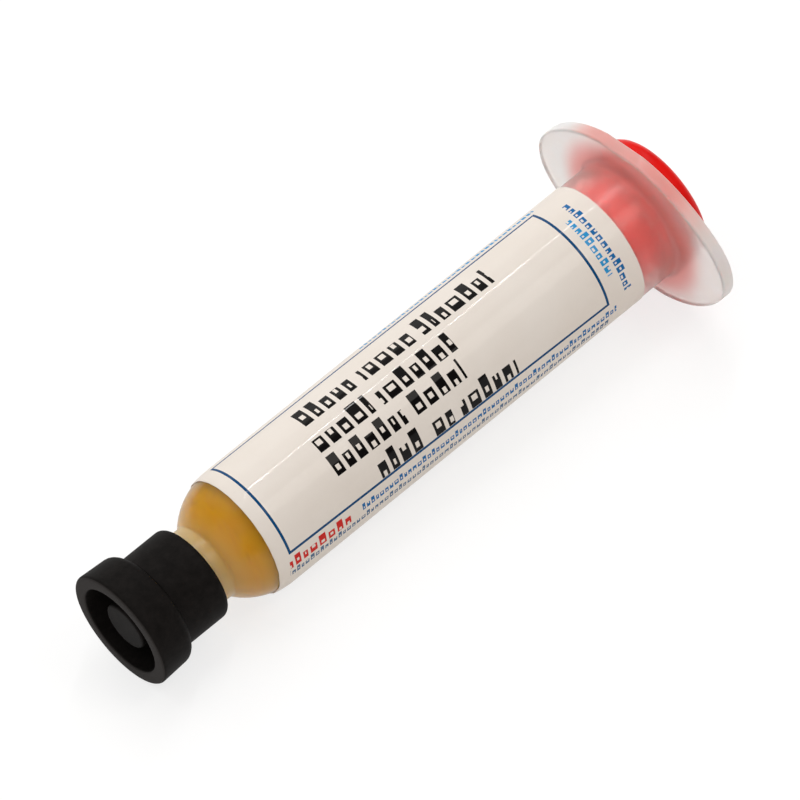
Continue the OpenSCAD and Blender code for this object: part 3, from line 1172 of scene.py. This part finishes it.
def make_label():
    """The film's inner radius is the tube's, less the dome's drop R - sqrt(R^2 - d^2) times a share
    that ripples round the edge as a sum of sines, plus the step of the lap, plus a low unevenness.
    Its UV map holds the way along and the way round from the side that faces the camera."""
    outer_r = tube_r + soft_gap + film_t
    wrap = np.linspace(0, 2 * np.pi + lap_angle, wrap_steps)[None, :]
    share = np.linspace(0, 1, run_steps)[:, None] ** front_crowd
    angle = seam_turn - wrap
    edge = outer_r * math.tan(label_skew) * np.sin(angle + view_height)
    start = label_x + edge
    end = label_end_x + edge
    x = start + (end - start) * share
    chance = np.random.default_rng(5)
    waves = chance.integers(wave_crests[0], wave_crests[1] + 1, wave_count)
    phases = chance.uniform(0, 2 * np.pi, wave_count)
    strengths = chance.uniform(*wave_strengths, wave_count)
    ripple = (strengths * np.sin(waves * angle[..., None] + phases)).sum(-1)
    ripple = ripple / strengths.sum()
    before = np.maximum(tube_x - x, 0)
    drop = dome_arc_r - np.sqrt(dome_arc_r**2 - before**2)
    follow = np.clip(follow_mean + follow_swing * ripple, *follow_limits)
    lap = np.clip((wrap - 2 * np.pi + lap_start) / lap_start, 0, 1)
    inner_r = tube_r + soft_gap - drop * follow + lap * (film_t + lap_gap)
    uneven = unevenness * np.sin(3 * angle + 0.05 * x) * np.sin(0.21 * x + 2 * angle)
    inner_r = inner_r + np.maximum(uneven, 0)
    radii = np.stack([inner_r + film_t, inner_r])
    stations = np.broadcast_to(x, radii.shape)
    points = np.stack([stations, radii * np.cos(angle), radii * np.sin(angle)], axis=-1)
    points, faces = sheet(points[0], points[1])
    middle = (label_x + label_end_x) / 2 - print_shift
    half_girth = np.pi * outer_r
    girth = (math.pi - view_height - angle) * outer_r
    girth = (girth + half_girth) % (2 * half_girth) - half_girth
    uv = np.stack([x - middle, np.broadcast_to(girth, x.shape)], axis=-1) / uv_unit
    uv = np.vstack([uv.reshape(-1, 2)] * 2)
    add_piece("wrap_label", points, faces, film, "barrel", "label", ["label"], uv=uv)


make_label()

# %% [markdown]
# A product on white is lit by large soft lamps. A wide one overhead makes the bright upper side,
# one behind lights the far side, and two smaller ones, beside the camera and in front of the cap,
# fill the near side. A tube lamp a few millimetres wide draws the fine line of light along the
# film. The world adds an even fill. More light could turn the floor white, but it would bleach the
# syringe too. So the floor is white to the camera, and keeps a pale shadow.

# %% Lamps, world and floor
world_fill = 0.45
world_gloss = 0.2
world_through = 1.25
paper_glow = 0.74
# The paper's glow rises to paper_far_glow between these distances from the middle, in metres
paper_far_glow = 0.9
paper_far = (0.4, 2.5)
paper_through = 0.12
floor_half = 6.0
lamp_aim = Vector((0, 0, 0.01))


def lamp(name, place, power, width, height, colour):
    """A rectangular area lamp at place, in metres, facing the middle of the syringe."""
    data = bpy.data.lights.new(name, "AREA")
    data.shape = "RECTANGLE"
    data.size = width
    data.size_y = height
    data.energy = power
    data.color = linear(colour)[:3]
    made = bpy.data.objects.new(name, data)
    bpy.context.scene.collection.objects.link(made)
    turned_to = (lamp_aim - Vector(place)).to_track_quat("-Z", "X")
    made.matrix_world = Matrix.Translation(place) @ turned_to.to_matrix().to_4x4()


# Name, place, watts, width and height in metres, colour
lamp("overhead_softbox", (0.05, 0.45, 0.85), 2.5, 1.4, 1.0, "#fffdf8")
lamp("back_softbox", (0.3, 0.95, 0.4), 1.5, 1.0, 0.35, "#fffdf8")
lamp("camera_softbox", (0.37, -0.52, 0.83), 1.3, 0.35, 0.35, "#fff8f0")
lamp("front_softbox", (-0.75, -0.25, 0.45), 1.5, 1.0, 0.8, "#fff8f0")
lamp("tube_lamp", (0.38, 0.276, 0.96), 3.0, 1.2, 0.008, "#ffffff")


def studio_world():
    """White to the camera and, a little stronger, through the plastic. For the rest a little fill,
    and less of it in gloss: the larger of what is seen and the fill."""
    world = bpy.data.worlds.new("studio")
    bpy.context.scene.world = world
    world.use_nodes = True
    tree = world.node_tree
    rays = add_node(tree, "LightPath").outputs
    seen = [rays["Is Transmission Ray"], world_through]
    seen = add_node(tree, "Math", seen, operation="MULTIPLY")
    seen = add_node(tree, "Math", [rays["Is Camera Ray"], seen], operation="MAXIMUM")
    fill = [rays["Is Glossy Ray"], world_gloss - world_fill, world_fill]
    fill = add_node(tree, "Math", fill, operation="MULTIPLY_ADD")
    strength = add_node(tree, "Math", [seen, fill], operation="MAXIMUM")
    set_inputs(tree, tree.nodes["Background"], {"Color": linear("#ffffff"), "Strength": strength})


def floor_paper():
    """White paper: plain diffuse for the light it sends back, and a paler copy of its shadow, on
    pure white, for what is seen of it directly, in gloss or through the plastic. Far from the
    lamps it glows a little more, so that it stays as white as it is near them."""
    material, tree = new_material("white_paper_floor")
    tree.nodes.remove(tree.nodes["Principled BSDF"])
    rays = add_node(tree, "LightPath").outputs
    seen = [rays["Is Camera Ray"], rays["Is Glossy Ray"]]
    seen = add_node(tree, "Math", seen, operation="MAXIMUM")
    seen = add_node(tree, "Math", [seen, rays["Is Transmission Ray"]], operation="MAXIMUM")
    far = add_node(tree, "TexCoord").outputs["Object"]
    far = add_node(tree, "VectorMath", [far], operation="LENGTH").outputs["Value"]
    level = add_node(tree, "MapRange", [far, *paper_far, paper_glow, paper_far_glow])
    level = [rays["Is Transmission Ray"], paper_through, level]
    level = add_node(tree, "Math", level, operation="MULTIPLY_ADD")
    paper = add_node(tree, "BsdfDiffuse", {"Color": linear("#e9e6e2")})
    soft = add_node(tree, "BsdfDiffuse", {"Color": linear("#959595")})
    glow = add_node(tree, "Emission", {"Color": linear("#ffffff"), "Strength": level})
    shown = add_node(tree, "AddShader", [soft, glow])
    mixed = add_node(tree, "MixShader", [seen, paper, shown])
    set_inputs(tree, tree.nodes["Material Output"], {"Surface": mixed})
    return material


def lay_floor(half):
    """One square of paper under everything, from -half to half in metres, marked as stage."""
    mesh = bpy.data.meshes.new("floor")
    corners = [(-half, -half, 0), (half, -half, 0), (half, half, 0), (-half, half, 0)]
    mesh.from_pydata(corners, [], [(0, 1, 2, 3)])
    mesh.materials.append(floor_paper())
    made = bpy.data.objects.new("floor", mesh)
    bpy.context.scene.collection.objects.link(made)
    made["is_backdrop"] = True


studio_world()
lay_floor(floor_half)
bpy.context.scene.view_settings.view_transform = "Standard"

# %% [markdown]
# Dressing must not change the object's size, so the CAD box is printed just after loading, and here
# the dressed model's box is measured and its difference from the CAD box is printed.

# %% Sizes and finish
dressed_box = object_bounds()
grown = [1000 * (a - b) for a, b in zip(dressed_box[1] - dressed_box[0], cad_box[1] - cad_box[0])]
print("dressed minus CAD, mm:", [round(v, 3) for v in grown])
